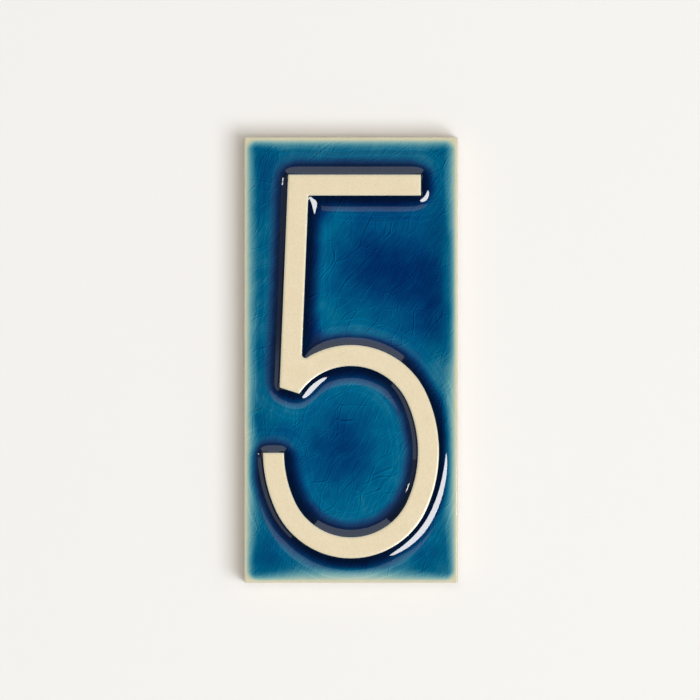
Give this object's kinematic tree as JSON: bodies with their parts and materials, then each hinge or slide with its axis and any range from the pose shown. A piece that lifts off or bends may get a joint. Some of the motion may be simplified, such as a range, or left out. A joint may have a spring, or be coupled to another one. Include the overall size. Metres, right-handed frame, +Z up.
{
  "type": "house number plaque",
  "caption": "Upright rectangular ceramic tile with a raised numeral on its face, glazed around the figure and fixed to a wall to show a house number.",
  "frame": {"origin": "centre of the flat back face, on the wall that the tile is fixed to", "axes": "+Z up the tile as it hangs, +X to the reader's right, +Y into the wall, so the numeral faces -Y"},
  "size_m": [0.073, 0.0121, 0.1524],
  "materials": {
    "glazed_clay": "translucent blue crackle glaze over cream clay, with the numeral's face left bare"
  },
  "bodies": {
    "root": {"number_tile": "glazed_clay"}
  },
  "joints": []
}
